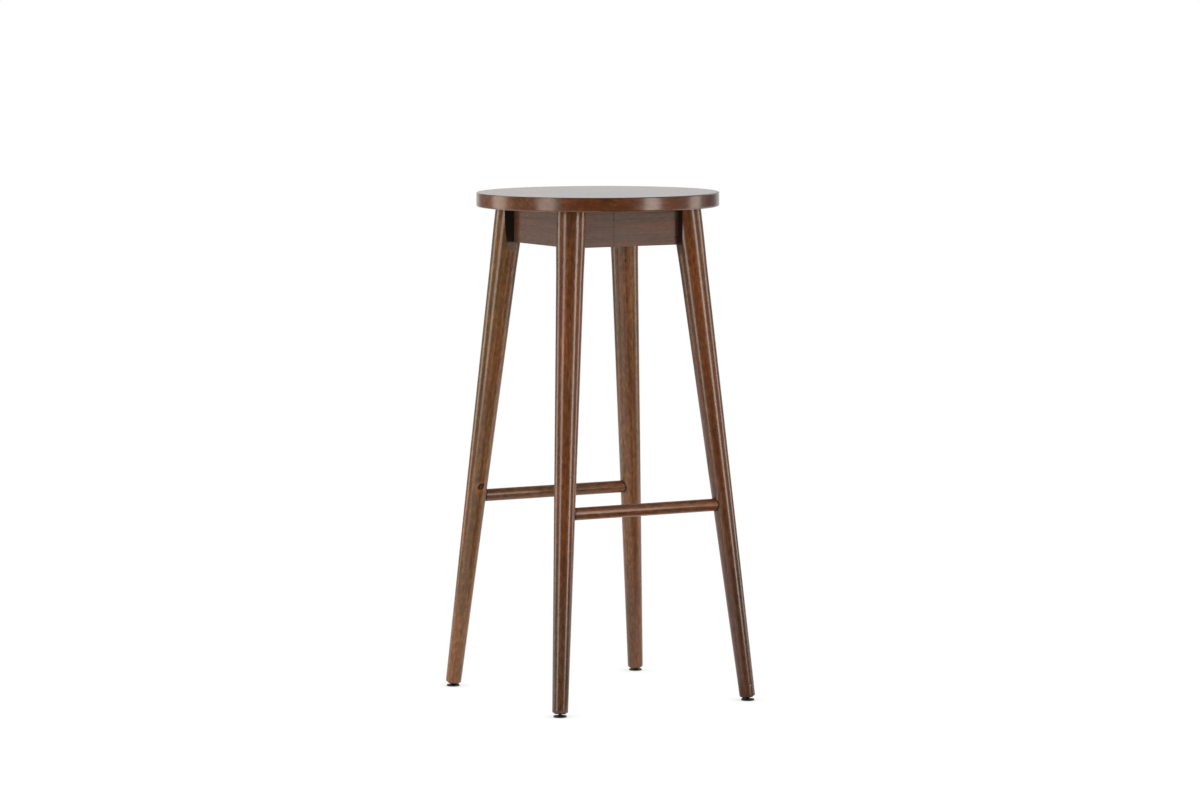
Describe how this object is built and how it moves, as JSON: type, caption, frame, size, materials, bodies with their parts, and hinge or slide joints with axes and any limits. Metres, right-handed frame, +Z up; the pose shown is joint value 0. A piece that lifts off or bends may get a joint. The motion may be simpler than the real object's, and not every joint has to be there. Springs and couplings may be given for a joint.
{
  "type": "bar stool",
  "caption": "Round wooden bar stool with splayed tapered legs, square apron, footrest stretchers on two opposite sides and tilting foot glides.",
  "frame": {"origin": "on the floor under the middle of the seat, the middle of the base of the overall box", "axes": "+Z is up, +X runs along the two stretchers, -Y is the front"},
  "size_m": [0.36, 0.3618, 0.75],
  "materials": {
    "seat_wood": "walnut-stained hardwood under satin lacquer",
    "apron_wood": "walnut-stained hardwood under satin lacquer",
    "leg_wood": "turned walnut-stained hardwood under satin lacquer",
    "stretcher_wood": "turned walnut-stained hardwood under satin lacquer",
    "block_wood": "plain sawn softwood with a thin wash of stain",
    "dowel_wood": "bare fluted beech",
    "zinc_steel": "zinc plated steel",
    "stem_plastic": "moulded black nylon",
    "pad_plastic": "moulded black polyethylene, slightly scuffed"
  },
  "bodies": {
    "stool": {"seat": "seat_wood", "apron_rail_front": "apron_wood", "apron_rail_rear": "apron_wood", "apron_rail_left": "apron_wood", "apron_rail_right": "apron_wood", "footrest_stretcher_front": "stretcher_wood", "footrest_stretcher_rear": "stretcher_wood", "leg_front_left": "leg_wood", "leg_front_right": "leg_wood", "leg_rear_right": "leg_wood", "leg_rear_left": "leg_wood", "corner_block_front_left": "block_wood", "corner_block_front_right": "block_wood", "corner_block_rear_right": "block_wood", "corner_block_rear_left": "block_wood", "rail_dowels": "dowel_wood", "leg_bolts": "zinc_steel", "leg_bolt_washers": "zinc_steel", "leg_bolt_nuts": "zinc_steel", "seat_screws": "zinc_steel", "block_screws": "zinc_steel", "glide_stem_front_left": "stem_plastic", "glide_stem_front_right": "stem_plastic", "glide_stem_rear_right": "stem_plastic", "glide_stem_rear_left": "stem_plastic"},
    "pad_front_left": {"glide_pad_front_left": "pad_plastic"},
    "pad_front_right": {"glide_pad_front_right": "pad_plastic"},
    "pad_rear_right": {"glide_pad_rear_right": "pad_plastic"},
    "pad_rear_left": {"glide_pad_rear_left": "pad_plastic"}
  },
  "joints": [
    {"name": "pad_tilt_front_left", "type": "hinge", "parent": "stool", "child": "pad_front_left", "pos_m": [-0.15795, -0.1699, 0.0029], "axis": [0.7719, -0.6357, 0], "range_deg": [-19.6, 4.4]},
    {"name": "pad_tilt_front_right", "type": "hinge", "parent": "stool", "child": "pad_front_right", "pos_m": [0.15795, -0.1699, 0.0029], "axis": [0.7719, 0.6357, 0], "range_deg": [-19.6, 4.4]},
    {"name": "pad_tilt_rear_right", "type": "hinge", "parent": "stool", "child": "pad_rear_right", "pos_m": [0.15795, 0.1699, 0.0029], "axis": [-0.7719, 0.6357, 0], "range_deg": [-19.6, 4.4]},
    {"name": "pad_tilt_rear_left", "type": "hinge", "parent": "stool", "child": "pad_rear_left", "pos_m": [-0.15795, 0.1699, 0.0029], "axis": [-0.7719, -0.6357, 0], "range_deg": [-19.6, 4.4]}
  ]
}
